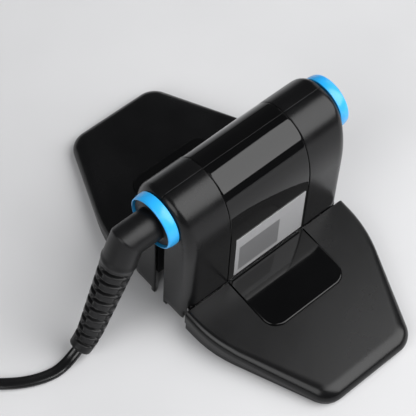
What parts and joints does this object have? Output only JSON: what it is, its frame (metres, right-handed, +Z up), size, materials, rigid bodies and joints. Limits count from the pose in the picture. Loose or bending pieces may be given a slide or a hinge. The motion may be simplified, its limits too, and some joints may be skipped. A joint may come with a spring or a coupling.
{
  "type": "folding collar iron",
  "caption": "Folding two-winged collar and travel iron: a squeeze grip between blue pivot rings, hinged hot wings with soleplates, an elbow strain relief and a flat lead.",
  "frame": {"origin": "on the floor under the middle of the body, without the lead", "axes": "+X along the grip, away from the lead; +Y along the longest side, out over the far wing; +Z up"},
  "size_m": [0.3342, 0.2148, 0.0965],
  "materials": {
    "satin_black": "satin moulded",
    "gloss_black": "high gloss",
    "azure": "semi-gloss",
    "soft_black": "matte",
    "cord_sheath": "matte flexible sheath",
    "steel": "plain",
    "cast_aluminium": "ground and polished face",
    "brass": "plain",
    "mica": "mica sheet",
    "ceramic_felt": "pressed ceramic fibre",
    "ceramic": "glazed ceramic",
    "circuit_board": "coated board",
    "silver_label": "silver foil, blank",
    "amber_lens": "clear tinted"
  },
  "bodies": {
    "spine": {"pivot_shaft": "steel", "cord_end_hub": "soft_black", "free_end_hub": "soft_black", "cord_end_ring": "azure", "free_end_ring": "azure", "grip_spring": "steel", "elbow_strain_relief": "soft_black", "cord": "cord_sheath", "cord_coil": "cord_sheath", "coil_tie": "soft_black", "plug_body": "soft_black", "plug_blade_1": "brass", "plug_blade_2": "brass"},
    "near_grip": {"near_grip_shell": "satin_black", "near_band_cover": "gloss_black", "near_inner_plate": "soft_black", "near_cord_end_plate_screw": "steel", "near_free_end_plate_screw": "steel", "near_cord_end_hinge_pin": "steel", "near_free_end_hinge_pin": "steel", "rating_label": "silver_label", "terminal_block": "ceramic"},
    "near_wing": {"near_wing_shell": "satin_black", "near_wing_panel": "gloss_black", "near_wing_skirt": "satin_black", "near_soleplate": "cast_aluminium", "near_heater": "mica", "near_insulation_pad": "ceramic_felt", "near_thermostat": "ceramic", "near_thermal_fuse": "brass"},
    "far_grip": {"far_grip_shell": "satin_black", "far_band_cover": "gloss_black", "far_inner_plate": "soft_black", "far_cord_end_plate_screw": "steel", "far_free_end_plate_screw": "steel", "far_cord_end_hinge_pin": "steel", "far_free_end_hinge_pin": "steel", "switch_body": "soft_black", "indicator_lens": "amber_lens", "control_board": "circuit_board"},
    "far_wing": {"far_wing_shell": "satin_black", "far_wing_panel": "gloss_black", "far_wing_skirt": "satin_black", "far_soleplate": "cast_aluminium", "far_heater": "mica", "far_insulation_pad": "ceramic_felt", "far_thermostat": "ceramic", "far_thermal_fuse": "brass"},
    "power_switch": {"switch_knob": "soft_black"}
  },
  "joints": [
    {"name": "near_squeeze", "type": "hinge", "parent": "spine", "child": "near_grip", "pos_m": [0, 0, 0.0795], "axis": [1, 0, 0], "range_deg": [0, 2.3], "stiffness_Nm_per_rad": 2, "springref_deg": -20.05, "deforming": ["grip_spring"]},
    {"name": "far_squeeze", "type": "hinge", "parent": "spine", "child": "far_grip", "pos_m": [0, 0, 0.0795], "axis": [1, 0, 0], "range_deg": [-2.3, 0]},
    {"name": "near_fold", "type": "hinge", "parent": "near_grip", "child": "near_wing", "pos_m": [0, -0.0205, 0.014], "axis": [1, 0, 0], "range_deg": [0, 90]},
    {"name": "far_fold", "type": "hinge", "parent": "far_grip", "child": "far_wing", "pos_m": [0, 0.0205, 0.014], "axis": [-1, 0, 0], "range_deg": [0, 90]},
    {"name": "power_slide", "type": "slide", "parent": "far_grip", "child": "power_switch", "axis": [1, 0, 0], "range_m": [0, 0.004]}
  ],
  "couplings": [
    {"joint": "far_squeeze", "follows": "near_squeeze", "ratio": -1}
  ]
}
